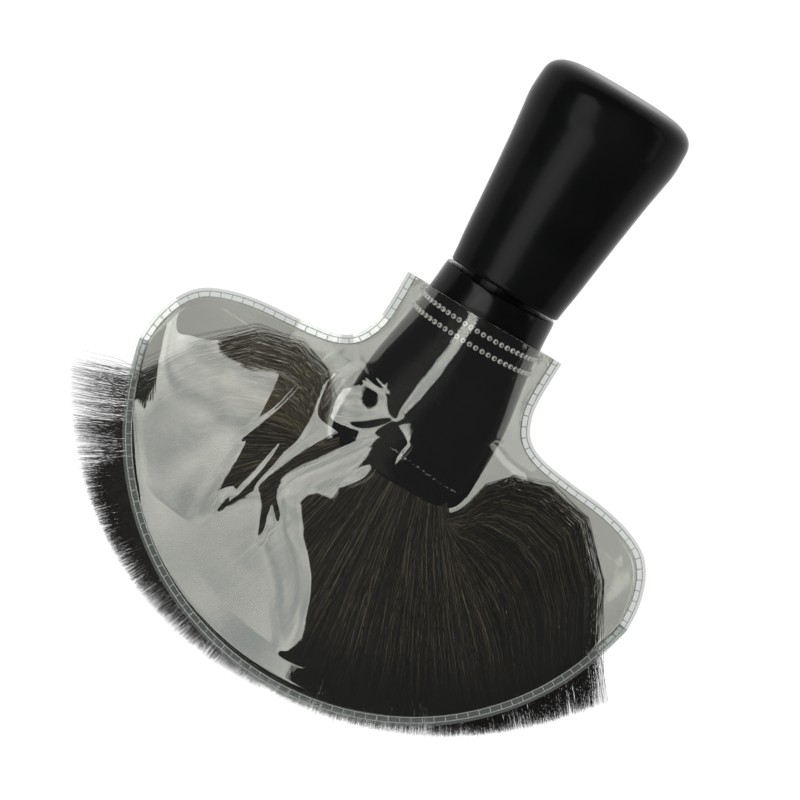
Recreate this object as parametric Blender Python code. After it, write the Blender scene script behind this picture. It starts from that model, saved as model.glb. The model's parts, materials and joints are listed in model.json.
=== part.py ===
"""Neck duster brush lying on its side, with its clear slip-on cover still on.

The brush's axis slopes: the fat end of the handle and the hem of the cover both lie on the table.
Lengths here are millimetres, along three directions: x across the brush, s along it from the end
of the handle to the tips of the bristles, and z up from the table.
"""
import math

import bmesh
import bpy
from mathutils import Vector

MM = 0.001

# Handle, ferrule and the joint between them.
SLOPE = math.radians(5.0)
HANDLE_MOUTH = 55.6
SEAM_GAP = 0.4
SEAM_OPENING = 1.5
TENON_RADIUS = 11.0
TENON_FIT = 0.25
TENON_START = 27.0
TENON_END = 65.4
FERRULE_TOP = HANDLE_MOUTH + SEAM_GAP
FERRULE_END = 109.5
FERRULE_WALL = 1.5
FERRULE_CORNER = 5.0
CUP_FLOOR = 78.0
ROUND_SIDES = 48

# (s, radius) along the handle, from the rim of its end face to its mouth.
HANDLE_PROFILE = [
    (-2.1, 12.0), (-1.75, 14.8), (-0.9, 17.4), (0.4, 19.2), (2.0, 20.15), (4.2, 20.5), (9.5, 20.6),
    (14.0, 20.0), (20.0, 19.15), (28.0, 18.2), (38.0, 17.1), (47.0, 16.15), (52.0, 15.5),
    (HANDLE_MOUTH, 15.15),
]
# The handle is glued on a little out of true: how far off the axis it is at its mouth, and how
# much further for each millimetre towards its end.
HANDLE_OFFSET = 0.45
HANDLE_LEAN = 0.012
# (s, half width, half depth): the ferrule is round where it meets the handle and flat at its end.
FERRULE_PROFILE = [
    (56.0, 14.9, 14.9), (56.5, 15.4, 15.4), (61.0, 15.75, 14.95), (66.0, 16.2, 14.2),
    (70.0, 16.6, 13.8), (78.0, 17.9, 12.6), (84.0, 18.85, 11.7), (90.0, 19.35, 11.1),
    (98.0, 19.45, 10.7), (104.0, 19.4, 10.5), (108.0, 19.3, 10.4), (FERRULE_END, 19.0, 10.1),
]

# Stone trim: two bands of small stones around the ferrule.
STONE_ROWS = {"stone_band_upper": 66.0, "stone_band_lower": 69.8}
STONES_PER_ROW = 58
STONE_HEIGHT = 0.55
BAND_THICKNESS = 0.15
BAND_FIT = 0.03

# The cover: two film sheets, welded down the sides and hemmed with a pressed band at the tips.
FILM = 0.35
WELD_WIDTH = 2.4
WELD_THICKNESS = 0.7
HEM_THICKNESS = 0.5
WELD_GAP = 0.3
HEM_CENTRE = 98.5
HEM_RADIUS = 73.0
COVER_TOP = 63.8
FILM_CLEARANCE = 1.0
FAN_CLEARANCE = 0.8
TABLE_CLEARANCE = 0.2
# (x, s) down one side of the cover: straight neck, fillet, shoulder and wing.
COVER_SIDE = [
    (22.2, COVER_TOP), (22.2, 75.0), (23.4, 80.5), (26.0, 84.5), (31.0, 87.0), (40.0, 88.4),
    (50.0, 89.4), (58.0, 91.2), (64.5, 94.3), (68.6, 99.5), (70.9, 106.5), (71.5, 113.0),
]
# For each of those points: where its line of the film crosses the middle, and the weld's height.
FILM_MIDDLE = [COVER_TOP, 73.0, 80.0, 86.0, 93.0, 103.0, 115.0, 127.0, 139.0, 151.0, 161.5, 168.8]
WELD_HEIGHT = [15.8, 14.9, 13.6, 11.5, 8.9, 7.6, 6.1, 4.9, 4.0, 3.0, 1.9, 0.9]
FILM_COLUMNS = 18

# Bristles: a bundle in the ferrule, and a fan that spreads from its mouth.
FAN_CENTRE = 98.5
FAN_DEPTH = 9.3
FAN_FLOOR = 1.05
FAN_MIDDLE_AT_MOUTH = 14.0
FAN_MIDDLE_DROP = 0.155
FAN_SPLIT = math.radians(45.0)
FAN_START = 111.2
FAN_ROOT = 15.8
FAN_GAP = 0.4
TIP_RADIUS = 72.0
# How much further the tips reach at 65 degrees from the axis, and how sharply that grows.
TIPS_LEFT = (12.8, 1.1)
TIPS_RIGHT = (8.8, 2.2)
TIPS_END = math.radians(65.0)
WING_EDGE = [
    (17.6, 111.6), (21.6, 107.2), (23.2, 100.0), (27.5, 95.4), (36.0, 92.8), (47.0, 95.2),
    (58.0, 106.5), (66.0, 121.0),
]


# Helpers ---------------------------------------------------------------------------------------
def clear_scene():
    for obj in list(bpy.data.objects):
        bpy.data.objects.remove(obj, do_unlink=True)


def material(name, colour, roughness, metallic=0.0, alpha=1.0):
    made = bpy.data.materials.new(name)
    made.use_nodes = True
    shader = made.node_tree.nodes["Principled BSDF"]
    shader.inputs["Base Color"].default_value = (*colour, 1.0)
    shader.inputs["Roughness"].default_value = roughness
    shader.inputs["Metallic"].default_value = metallic
    shader.inputs["Alpha"].default_value = alpha
    return made


def new_object(name, verts, faces, parent, look, smooth_angle=None):
    """A mesh object from points in metres, with its faces turned outward."""
    mesh = bpy.data.meshes.new(name)
    mesh.from_pydata([tuple(v) for v in verts], [], faces)
    bm = bmesh.new()
    bm.from_mesh(mesh)
    bmesh.ops.recalc_face_normals(bm, faces=bm.faces)
    bm.to_mesh(mesh)
    bm.free()
    obj = bpy.data.objects.new(name, mesh)
    bpy.context.scene.collection.objects.link(obj)
    obj.parent = parent
    mesh.materials.append(look)
    if smooth_angle is not None:
        mesh.shade_smooth()
        mesh.set_sharp_from_angle(angle=math.radians(smooth_angle))
    return obj


def add_empty(name, rotation_x=0.0):
    empty = bpy.data.objects.new(name, None)
    bpy.context.scene.collection.objects.link(empty)
    empty.rotation_euler.x = rotation_x
    return empty


def blend(table, at):
    """Linear interpolation in a list of (position, value, value ...) rows."""
    if at <= table[0][0]:
        return table[0][1:]
    for low, high in zip(table, table[1:]):
        if at <= high[0]:
            t = (at - low[0]) / (high[0] - low[0])
            return tuple(a + t * (b - a) for a, b in zip(low[1:], high[1:]))
    return table[-1][1:]


def smooth_curve(points, at):
    """A Catmull-Rom curve through the points: at runs from 0 to len(points) - 1."""
    last = len(points) - 1
    i = min(int(at), last - 1)
    t = at - i
    a, b, c, d = (Vector(points[min(max(k, 0), last)]) for k in range(i - 1, i + 3))
    return 0.5 * (
        2 * b + (c - a) * t + (2 * a - 5 * b + 4 * c - d) * t**2 + (3 * b - a - 3 * c + d) * t**3
    )


# Where things lie ------------------------------------------------------------------------------
AXIS_START_HEIGHT = max(s * math.sin(SLOPE) + r * math.cos(SLOPE) for s, r in HANDLE_PROFILE)


def axis_height(s):
    """Height of the brush's axis above the table."""
    return AXIS_START_HEIGHT - s * math.sin(SLOPE)


def on_axis(x, s, up):
    """A point of a piece that follows the sloping axis, in that axis's own frame."""
    return Vector((x, -s, up)) * MM


def on_table(x, s, z):
    """A point of a piece that is placed by its height above the table."""
    return Vector((x, -s * math.cos(SLOPE), z)) * MM


def fan_middle(x, s):
    """Height of the middle of the bristle fan."""
    return max(FAN_MIDDLE_AT_MOUTH - FAN_MIDDLE_DROP * math.hypot(x, s - FAN_CENTRE), 2.2)


def fan_depth(x, s):
    """Half the thickness of the fan: it thins out towards its two sides."""
    angle = math.degrees(math.atan2(abs(x), s - FAN_CENTRE))
    edge_angle = 99 - 0.75 * max(0.0, math.hypot(x, s - FAN_CENTRE) - 36)
    share = angle / edge_angle
    return FAN_DEPTH * math.sqrt(max(0.03, 1 - share * share))


def fan_top(x, s):
    return fan_middle(x, s) + fan_depth(x, s)


def fan_bottom(x, s):
    return max(FAN_FLOOR, fan_middle(x, s) - fan_depth(x, s))


# Round and oval pieces -------------------------------------------------------------------------
def loft(name, rings, look, parent, smooth_angle=40):
    """A closed solid through rings of points, capped at both ends."""
    sides = len(rings[0])
    verts = [v for ring in rings for v in ring]
    faces = []
    for i in range(len(rings) - 1):
        for k in range(sides):
            n = (k + 1) % sides
            here, there = i * sides, (i + 1) * sides
            faces.append((here + k, here + n, there + n, there + k))
    faces.append(tuple(range(sides))[::-1])
    faces.append(tuple(range(len(verts) - sides, len(verts))))
    return new_object(name, verts, faces, parent, look, smooth_angle)


def oval(s, half_width, half_depth, sides=ROUND_SIDES, shift=None):
    """A ring round the axis; shift moves each point along the axis."""
    ring = []
    for k in range(sides):
        angle = 2 * math.pi * k / sides
        x, up = half_width * math.cos(angle), half_depth * math.sin(angle)
        ring.append(on_axis(x, s + (shift(x, up) if shift else 0.0), up))
    return ring


def make_handle(axis, look):
    """Turned handle with a blind hole for the tenon. Its mouth is cut a little out of square."""
    mouth_radius = HANDLE_PROFILE[-1][1]
    hole = TENON_RADIUS + TENON_FIT

    def off_true(ring, s):
        aside = HANDLE_OFFSET + HANDLE_LEAN * (HANDLE_MOUTH - s)
        return [v + Vector((aside * MM, 0, 0)) for v in ring]

    def out_of_square(x, up):
        return -SEAM_OPENING * ((1 + up / mouth_radius) / 2) ** 2.2

    rings = [off_true(oval(s, r, r), s) for s, r in HANDLE_PROFILE[:-1]]
    mouth = oval(HANDLE_MOUTH, mouth_radius, mouth_radius, shift=out_of_square)
    rings.append(off_true(mouth, HANDLE_MOUTH))
    rings.append(oval(HANDLE_MOUTH, hole, hole, shift=out_of_square))
    rings.append(oval(TENON_START - 1, hole, hole))
    return loft("handle", rings, look, axis)


def make_tenon(axis, look):
    chamfer = 0.8
    r = TENON_RADIUS
    rings = [oval(TENON_START, r - chamfer, r - chamfer), oval(TENON_START + chamfer, r, r)]
    rings += [oval(TENON_END - chamfer, r, r), oval(TENON_END, r - chamfer, r - chamfer)]
    return loft("handle_tenon", rings, look, axis)


def rounded_corner(x, _up):
    """How far the ferrule's rim draws back where its end has rounded corners."""
    past = abs(x) - (FERRULE_PROFILE[-1][1] - FERRULE_CORNER)
    if past <= 0:
        return 0.0
    return -(FERRULE_CORNER - math.sqrt(max(0.0, FERRULE_CORNER**2 - past**2))) * 0.9


def cup_size(s):
    half_width, half_depth = blend(FERRULE_PROFILE, s)
    return half_width - FERRULE_WALL, half_depth - FERRULE_WALL


def make_ferrule(axis, look):
    """Flared ferrule: a socket for the tenon at one end and a flat cup for the bristles."""
    hole = TENON_RADIUS + TENON_FIT
    rings = [oval(TENON_END + TENON_FIT, hole, hole), oval(FERRULE_TOP, hole, hole)]
    rings += [oval(s, w, d) for s, w, d in FERRULE_PROFILE[:-2]]
    for s, w, d in FERRULE_PROFILE[-2:]:
        rings.append(oval(s, w, d, shift=rounded_corner))
    rings.append(oval(FERRULE_END, *cup_size(FERRULE_END), shift=rounded_corner))
    rings += [oval(s, *cup_size(s)) for s in (103.0, 90.0, CUP_FLOOR)]
    return loft("ferrule", rings, look, axis)


def make_potting(axis, look):
    rings = []
    for s, gap in ((CUP_FLOOR + 0.2, 0.8), (CUP_FLOOR + 0.8, 0.2), (CUP_FLOOR + 4.5, 0.2)):
        w, d = cup_size(CUP_FLOOR)
        rings.append(oval(s, w - gap, d - gap - 0.1 * (s - CUP_FLOOR)))
    return loft("potting_plug", rings, look, axis)


def make_bristle_root(axis, look):
    """The bundle of bristles inside the ferrule, drawn in under its binding cord."""
    stations = [(83.0, 14.0, 7.6), (84.6, 14.0, 7.4), (85.6, 12.6, 6.2), (89.4, 12.6, 6.2),
                (90.6, 14.5, 7.4), (98.0, 16.6, 8.4), (108.6, 16.9, 8.3)]
    rings = [oval(s, w, d, sides=32) for s, w, d in stations[:-1]]
    rings.append(oval(*stations[-1], sides=32, shift=lambda x, up: 0.5 * rounded_corner(x, up)))
    return loft("bristle_root", rings, look, axis, smooth_angle=60)


def make_binding(axis, look):
    """Three turns of cord round the bundle, drawn as one ribbed ring."""
    turns, pitch, thick = 3, 1.1, 1.2
    inner, depth = 12.85, 6.45
    rings = []
    for step in range(2 * turns + 1):
        bulge = thick if step % 2 else 0.55 * thick
        rings.append(oval(85.8 + step * pitch / 2, inner + bulge, depth + bulge, sides=32))
    rings.append(oval(85.8 + turns * pitch, inner, depth, sides=32))
    rings.append(oval(85.8, inner, depth, sides=32))
    return closed_loft("binding_cord", rings, look, axis)


def closed_loft(name, rings, look, parent, smooth_angle=40):
    """A ring-shaped solid: the last ring of points joins the first."""
    sides = len(rings[0])
    verts = [v for ring in rings for v in ring]
    faces = []
    for i in range(len(rings)):
        here, there = i * sides, (i + 1) % len(rings) * sides
        for k in range(sides):
            n = (k + 1) % sides
            faces.append((here + k, here + n, there + n, there + k))
    return new_object(name, verts, faces, parent, look, smooth_angle)


def make_stone_band(name, middle, axis, look):
    """A thin strip round the ferrule with a row of small faceted stones standing on it."""
    across = [(-0.8, 0.0), (-0.35, 1.0), (0.35, 1.0), (0.8, 0.0)]
    around = (0.0, 1.0, 1.0)
    cells = len(around) * STONES_PER_ROW
    rings = []
    for offset, height in across:
        s = middle + offset
        w, d = blend(FERRULE_PROFILE, s)
        ring = []
        for k in range(cells):
            angle = 2 * math.pi * k / cells
            out = BAND_FIT + BAND_THICKNESS
            out += (STONE_HEIGHT - BAND_THICKNESS) * height * around[k % len(around)]
            ring.append(on_axis((w + out) * math.cos(angle), s, (d + out) * math.sin(angle)))
        rings.append(ring)
    for s in (middle + across[-1][0], middle + across[0][0]):
        w, d = blend(FERRULE_PROFILE, s)
        rings.append(oval(s, w + BAND_FIT, d + BAND_FIT, sides=cells))
    return closed_loft(name, rings, look, axis, smooth_angle=20)


# Bristle fan -----------------------------------------------------------------------------------
def slab(name, rows, top, bottom, look, parent):
    """A closed solid over rows of (x, s) points, between two height functions."""
    columns = len(rows[0])
    flat = [p for row in rows for p in row]
    verts = [on_table(x, s, top(x, s)) for x, s in flat]
    verts += [on_table(x, s, bottom(x, s)) for x, s in flat]
    under = len(flat)
    faces = []
    for i in range(len(rows) - 1):
        for k in range(columns - 1):
            a, b = i * columns + k, i * columns + k + 1
            c, d = b + columns, a + columns
            faces.append((a, b, c, d))
            faces.append((a + under, d + under, c + under, b + under))
    rim = [k for k in range(columns)]
    rim += [i * columns + columns - 1 for i in range(1, len(rows))]
    rim += [under - 1 - k for k in range(1, columns)]
    rim += [i * columns for i in range(len(rows) - 2, 0, -1)]
    for here, there in zip(rim, rim[1:] + rim[:1]):
        faces.append((here, here + under, there + under, there))
    return new_object(name, verts, faces, parent, look, 60)


def tip_radius(angle):
    """Distance of the tips from the fan's centre; the left side reaches further than the right."""
    more, power = TIPS_LEFT if angle < 0 else TIPS_RIGHT
    return TIP_RADIUS + more * (abs(angle) / TIPS_END) ** power


def tip_point(angle):
    r = tip_radius(angle)
    return Vector((r * math.sin(angle), FAN_CENTRE + r * math.cos(angle)))


def make_fan_middle(table, look):
    rows = []
    for i in range(9):
        u = i / 8
        row = []
        for k in range(-7, 8):
            v = k / 7
            root = Vector((FAN_ROOT * v, FAN_START))
            row.append(root.lerp(tip_point(v * FAN_SPLIT), u))
        rows.append(row)
    return slab("bristles_middle", rows, fan_top, fan_bottom, look, table)


def make_fan_wing(name, side, table, look):
    """One side of the fan: its outer bristles turn back round the ferrule's corner."""
    def inner(u):
        start = Vector((side * (FAN_ROOT + FAN_GAP), FAN_START + 0.2))
        return start.lerp(tip_point(side * (FAN_SPLIT + FAN_GAP / TIP_RADIUS)), u)

    outline = [(side * x, s) for x, s in WING_EDGE] + [tuple(tip_point(side * TIPS_END))]

    def outer(u):
        return smooth_curve(outline, u * (len(outline) - 1))

    def rounded_end(v):
        """From the straight line between the two corners of the tips, out to their arc."""
        ray = inner(1).lerp(outer(1), v) - Vector((0, FAN_CENTRE))
        return ray.normalized() * (tip_radius(math.atan2(ray.x, ray.y)) - ray.length)

    steps, columns = 14, 7
    rows = []
    for i in range(steps):
        u = i / (steps - 1)
        row = []
        for k in range(columns):
            v = k / (columns - 1)
            row.append(inner(u).lerp(outer(u), v) + rounded_end(v) * u**6)
        rows.append(row)
    return slab(name, rows, fan_top, fan_bottom, look, table)


# Cover -----------------------------------------------------------------------------------------
def cover_side(at, inward):
    """A point on the right side of the cover, moved inward from its outline."""
    here = smooth_curve(COVER_SIDE, at)
    last = len(COVER_SIDE) - 1
    ahead = smooth_curve(COVER_SIDE, min(at + 0.05, last))
    behind = smooth_curve(COVER_SIDE, max(at - 0.05, 0))
    along = (ahead - behind).normalized()
    return here + Vector((-along.y, along.x)) * inward


def crown(s, sign):
    """Height of the film over (sign 1) or under (sign -1) the middle of the brush."""
    if s > FERRULE_END + 3:
        return fan_top(0, s) + FAN_CLEARANCE if sign > 0 else TABLE_CLEARANCE
    lean = sign * blend(FERRULE_PROFILE, s)[1] * math.tan(SLOPE)
    depth = (blend(FERRULE_PROFILE, s - lean)[1] + FILM_CLEARANCE) * math.cos(SLOPE)
    return max(axis_height(s - lean) + sign * depth, TABLE_CLEARANCE)


def film_row(at, sign):
    """One line of film points across the cover, from its left weld to its right weld."""
    edge = cover_side(at, WELD_WIDTH + WELD_GAP)
    index = min(int(at), len(FILM_MIDDLE) - 2)
    t = at - index
    middle = FILM_MIDDLE[index] * (1 - t) + FILM_MIDDLE[index + 1] * t
    weld = WELD_HEIGHT[index] * (1 - t) + WELD_HEIGHT[index + 1] * t
    flat = weld + sign * (FILM + 0.02)
    in_neck = max(0.0, 1 - at / 3)
    ferrule_half_width = blend(FERRULE_PROFILE, middle)[0]
    bulge = in_neck * (ferrule_half_width + FILM_CLEARANCE) + (1 - in_neck) * (edge.x - 1.2)
    power = 1.0 if sign > 0 else 0.3 + 0.7 * in_neck
    row = [(-edge.x, edge.y, flat)]
    for k in range(FILM_COLUMNS + 1):
        angle = math.pi * (k / FILM_COLUMNS - 0.5)
        x = bulge * math.sin(angle)
        s = middle + (edge.y - middle) * (1 - arc_share(x / edge.x))
        z = flat + (crown(middle, sign) - flat) * max(0.0, math.cos(angle)) ** power
        row.append((x, s, clear_of_fan(x, s, z, sign)))
    row.append((edge.x, edge.y, flat))
    return row


def arc_share(across):
    """The hem's arc as a share of its rise: 1 in the middle and 0 at the sides."""
    reach = HEM_RADIUS / COVER_SIDE[-1][0]
    foot = math.sqrt(reach**2 - 1)
    return (math.sqrt(reach**2 - across**2) - foot) / (reach - foot)


def clear_of_fan(x, s, z, sign):
    if s < FAN_CENTRE - 8 or math.hypot(x, s - FAN_CENTRE) > HEM_RADIUS + 15:
        return z
    if sign > 0:
        return max(z, fan_top(x, s) + FAN_CLEARANCE)
    return max(min(z, fan_bottom(x, s) - FAN_CLEARANCE), TABLE_CLEARANCE)


def film_rows(sign):
    steps = 2 * (len(COVER_SIDE) - 1)
    return [film_row(i / 2, sign) for i in range(steps + 1)]


def make_sheet(name, points_rows, thickness, look, parent):
    """A sheet of even thickness over rows of (x, s, z) points."""
    columns = len(points_rows[0])
    verts = [on_table(*p) for row in points_rows for p in row]
    faces = []
    for i in range(len(points_rows) - 1):
        for k in range(columns - 1):
            a = i * columns + k
            faces.append((a, a + 1, a + 1 + columns, a + columns))
    obj = new_object(name, verts, faces, parent, look, 60)
    solid = obj.modifiers.new("thickness", "SOLIDIFY")
    solid.thickness = thickness * MM
    solid.offset = 0.0
    return obj


def make_side_weld(name, side, table, look):
    """The pressed band where the two films are welded, from the neck to the tip of the wing."""
    last = len(COVER_SIDE) - 1
    heights = list(zip(range(last + 1), WELD_HEIGHT))
    rows = []
    for i in range(2 * last + 1):
        at = i / 2
        z = blend(heights, at)[0]
        row = [cover_side(at, 0.0), cover_side(at, WELD_WIDTH)]
        rows.append([(side * p.x, p.y, z) for p in row])
    return make_sheet(name, rows, WELD_THICKNESS, look, table)


def make_hem(name, sign, table, look):
    """The pressed band along the open, curved edge of one film."""
    edge = film_row(len(COVER_SIDE) - 1, sign)
    centre = Vector((0, HEM_CENTRE))
    rows = []
    for x, s, z in edge:
        ray = (Vector((x, s)) - centre).normalized()
        inner = centre + ray * (HEM_RADIUS - WELD_WIDTH)
        outer = centre + ray * HEM_RADIUS
        z = HEM_THICKNESS / 2 if sign < 0 else z
        rows.append([(inner.x, inner.y, z), (outer.x, outer.y, z)])
    return make_sheet(name, rows, HEM_THICKNESS, look, table)


# Assembly --------------------------------------------------------------------------------------
def centre_on_origin(empties):
    """Moves everything so that the origin is under the middle of the whole."""
    bpy.context.view_layer.update()
    graph = bpy.context.evaluated_depsgraph_get()
    low, high = Vector((1e9,) * 3), Vector((-1e9,) * 3)
    for obj in bpy.data.objects:
        if obj.type != "MESH":
            continue
        seen = obj.evaluated_get(graph)
        for vertex in seen.data.vertices:
            p = seen.matrix_world @ vertex.co
            low = Vector(map(min, low, p))
            high = Vector(map(max, high, p))
    for empty in empties:
        empty.location -= Vector(((low.x + high.x) / 2, (low.y + high.y) / 2, low.z))


def main():
    clear_scene()
    axis = add_empty("brush_axis", rotation_x=SLOPE)
    axis.location.z = AXIS_START_HEIGHT * MM
    table = add_empty("table_frame")

    black_satin = material("handle_black", (0.012, 0.012, 0.013), 0.38)
    wood = material("tenon_dark", (0.03, 0.025, 0.022), 0.6)
    black_gloss = material("ferrule_black", (0.01, 0.01, 0.011), 0.22)
    resin = material("potting_resin", (0.28, 0.2, 0.1), 0.35)
    cord = material("binding_cord_black", (0.05, 0.045, 0.04), 0.8)
    stones = material("stone_trim", (0.82, 0.83, 0.85), 0.15, metallic=0.9)
    hair = material("bristle_dark_brown", (0.035, 0.024, 0.018), 0.55)
    film = material("cover_film", (0.62, 0.66, 0.63), 0.12, alpha=0.45)
    pressed = material("cover_weld", (0.72, 0.75, 0.73), 0.25, alpha=0.7)

    make_handle(axis, black_satin)
    make_tenon(axis, wood)
    make_ferrule(axis, black_gloss)
    make_potting(axis, resin)
    make_bristle_root(axis, hair)
    make_binding(axis, cord)
    for name, middle in STONE_ROWS.items():
        make_stone_band(name, middle, axis, stones)
    make_fan_middle(table, hair)
    make_fan_wing("bristles_left", -1, table, hair)
    make_fan_wing("bristles_right", 1, table, hair)
    make_sheet("cover_front_film", film_rows(1), FILM, film, table)
    make_sheet("cover_back_film", film_rows(-1), FILM, film, table)
    make_side_weld("cover_weld_left", -1, table, pressed)
    make_side_weld("cover_weld_right", 1, table, pressed)
    make_hem("cover_hem_front", 1, table, pressed)
    make_hem("cover_hem_back", -1, table, pressed)
    centre_on_origin([axis, table])


main()
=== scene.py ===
"""The looks of the neck duster: bristles as strands, a creased clear cover, stones and satin black.

Lengths are millimetres, along x across the brush, s along it from the end of the handle to the
tips, and z up from the table, until a mesh is made from them in metres.
"""
import json
import math

import bpy
import numpy as np
from mathutils import Matrix, Vector


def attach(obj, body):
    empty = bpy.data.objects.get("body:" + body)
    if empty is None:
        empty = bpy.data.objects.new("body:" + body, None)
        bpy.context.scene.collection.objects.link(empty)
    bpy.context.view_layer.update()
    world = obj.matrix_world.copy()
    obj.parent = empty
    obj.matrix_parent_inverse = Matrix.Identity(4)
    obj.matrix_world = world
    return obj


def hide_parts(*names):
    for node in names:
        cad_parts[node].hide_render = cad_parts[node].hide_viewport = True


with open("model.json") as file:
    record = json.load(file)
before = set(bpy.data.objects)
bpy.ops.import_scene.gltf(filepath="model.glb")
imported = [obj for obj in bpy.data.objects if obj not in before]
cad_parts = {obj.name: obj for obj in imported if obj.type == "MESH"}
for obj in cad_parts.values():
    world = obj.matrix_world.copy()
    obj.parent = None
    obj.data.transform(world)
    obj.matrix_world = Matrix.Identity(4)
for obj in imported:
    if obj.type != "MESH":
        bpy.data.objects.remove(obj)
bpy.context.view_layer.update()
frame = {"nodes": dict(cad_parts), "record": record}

MM = 0.001
END = frame["record"]["mounts"][0]
SLOPE = math.asin(END["axis"][2])
SIN, COS = math.sin(SLOPE), math.cos(SLOPE)
HANDLE_END = -2.1
HANDLE_MOUTH = 55.6
HANDLE_OFFSET = 0.45
HANDLE_LEAN = 0.012
# Where s is zero on the axis: just inside the handle, which is glued on a little out of true.
END_ASIDE = HANDLE_OFFSET + HANDLE_LEAN * (HANDLE_MOUTH - HANDLE_END)
END_PLACE = np.array(END["pos_m"]) / MM - np.array([END_ASIDE, -HANDLE_END * COS, -HANDLE_END * SIN])
RNG = np.random.RandomState(11)

# The CAD model's driving sizes, and a few that only the looks need.
HANDLE_PROFILE = [
    (HANDLE_END, 12.0), (-1.75, 14.8), (-0.9, 17.4), (0.4, 19.2), (2.0, 20.15), (4.2, 20.5),
    (9.5, 20.6), (14.0, 20.0), (20.0, 19.15), (28.0, 18.2), (38.0, 17.1), (47.0, 16.15),
    (52.0, 15.5), (HANDLE_MOUTH, 15.15),
]
SEAM_OPENING = 1.5
TENON_HOLE = 11.25
FERRULE_PROFILE = [
    (56.0, 14.9, 14.9), (56.5, 15.4, 15.4), (61.0, 15.75, 14.95), (66.0, 16.2, 14.2),
    (70.0, 16.6, 13.8), (78.0, 17.9, 12.6), (84.0, 18.85, 11.7), (90.0, 19.35, 11.1),
    (98.0, 19.45, 10.7), (104.0, 19.4, 10.5), (108.0, 19.3, 10.4), (109.5, 19.0, 10.1),
]
FERRULE_WALL = 1.5
FERRULE_CORNER = 5.0
STONE_ROWS = {"stone_band_upper": 66.0, "stone_band_lower": 69.8}
STONES_PER_ROW = 58
SPECKS = 46
HEM_CENTRE = 98.5
HEM_RADIUS = 73.0
WELD_WIDTH = 2.4
FILM = 0.35
COVER_TOP = 63.8
FILM_CLEARANCE = 1.0
FAN_CLEARANCE = 0.8
TABLE_CLEARANCE = 0.2
COVER_SIDE = [
    (22.2, COVER_TOP), (22.2, 75.0), (23.4, 80.5), (26.0, 84.5), (31.0, 87.0), (40.0, 88.4),
    (50.0, 89.4), (58.0, 91.2), (64.5, 94.3), (68.6, 99.5), (70.9, 106.5), (71.5, 113.0),
]
FILM_MIDDLE = [COVER_TOP, 73.0, 80.0, 86.0, 93.0, 103.0, 115.0, 127.0, 139.0, 151.0, 161.5, 168.8]
WELD_HEIGHT = [15.8, 14.9, 13.6, 11.5, 8.9, 7.6, 6.1, 4.9, 4.0, 3.0, 1.9, 0.9]
RAISED_LEFT, RAISED_RIGHT = 6.6, 2.2
PVC_INDEX = 1.53
FAN_CENTRE = 98.5
FAN_DEPTH = 9.3
FAN_FLOOR = 1.05
FAN_MIDDLE_AT_MOUTH = 14.0
FAN_MIDDLE_DROP = 0.155
ROOT_HALF_WIDTH = 15.2
ROOT_AT = 109.0
STRAND_RADIUS = (0.045, 0.075)
STRANDS_PER_CLUMP = 26
LIGHT_STRANDS = 0.06
STRAY_SIDEWAYS = 2.0
TIP_RADIUS = 72.0
TIPS_LEFT = (12.8, 1.1)
TIPS_RIGHT = (8.8, 2.2)
TIPS_END = math.radians(65.0)
CORE_END = 0.88
FAN_SPLIT = math.radians(45.0)
LEFT_END, RIGHT_END = math.radians(71.5), math.radians(65.5)
WING_EDGE = [
    (17.6, 111.6), (21.6, 107.2), (23.2, 100.0), (27.5, 95.4), (36.0, 92.8), (47.0, 95.2),
    (58.0, 106.5), (66.0, 121.0),
]


# Places ----------------------------------------------------------------------------------------
def axis_height(s):
    return END_PLACE[2] - s * SIN


def on_axis(x, s, up):
    """World place, in metres, of points given in the brush's own sloping frame."""
    x, s, up = np.broadcast_arrays(*(np.asarray(v, float) for v in (x, s, up)))
    y = END_PLACE[1] - s * COS - up * SIN
    z = END_PLACE[2] - s * SIN + up * COS
    return np.stack([x + END_PLACE[0], y, z], axis=-1) * MM


def on_table(x, s, z):
    """World place, in metres, of points given by their height above the table."""
    x, s, z = np.broadcast_arrays(*(np.asarray(v, float) for v in (x, s, z)))
    return np.stack([x + END_PLACE[0], END_PLACE[1] - s * COS, z], axis=-1) * MM


def smooth_curve(points, at):
    """Catmull-Rom through the points, for an array of places from 0 to len(points) - 1."""
    points = np.array(points, float)
    last = len(points) - 1
    at = np.clip(np.asarray(at, float), 0, last)
    i = np.minimum(at.astype(int), last - 1)
    t = (at - i)[..., None]
    a, b, c, d = (points[np.clip(i + k, 0, last)] for k in (-1, 0, 1, 2))
    return 0.5 * (
        2 * b + (c - a) * t + (2 * a - 5 * b + 4 * c - d) * t**2 + (3 * b - a - 3 * c + d) * t**3
    )


def table_value(table, at, column=1):
    rows = np.array(table, float)
    return np.interp(at, rows[:, 0], rows[:, column])


def fan_middle(x, s):
    return np.maximum(FAN_MIDDLE_AT_MOUTH - FAN_MIDDLE_DROP * np.hypot(x, s - FAN_CENTRE), 2.2)


def fan_side(x, s):
    """A point's angle in the fan, and the angle at which the fan ends at that distance, in degrees."""
    angle = np.degrees(np.arctan2(np.abs(x), s - FAN_CENTRE))
    return angle, 99 - 0.75 * np.maximum(0.0, np.hypot(x, s - FAN_CENTRE) - 36)


def fan_depth(x, s):
    angle, edge = fan_side(x, s)
    return FAN_DEPTH * np.sqrt(np.maximum(0.03, 1 - (angle / edge) ** 2))


def fan_top(x, s):
    return fan_middle(x, s) + fan_depth(x, s)


def fan_bottom(x, s):
    return np.maximum(FAN_FLOOR, fan_middle(x, s) - fan_depth(x, s))


def tip_radius(angle):
    share = np.abs(angle) / TIPS_END
    left = TIPS_LEFT[0] * share ** TIPS_LEFT[1] + 2.2
    right = TIPS_RIGHT[0] * share ** TIPS_RIGHT[1] + 1.6
    return TIP_RADIUS + np.where(angle < 0, left, right)


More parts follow.
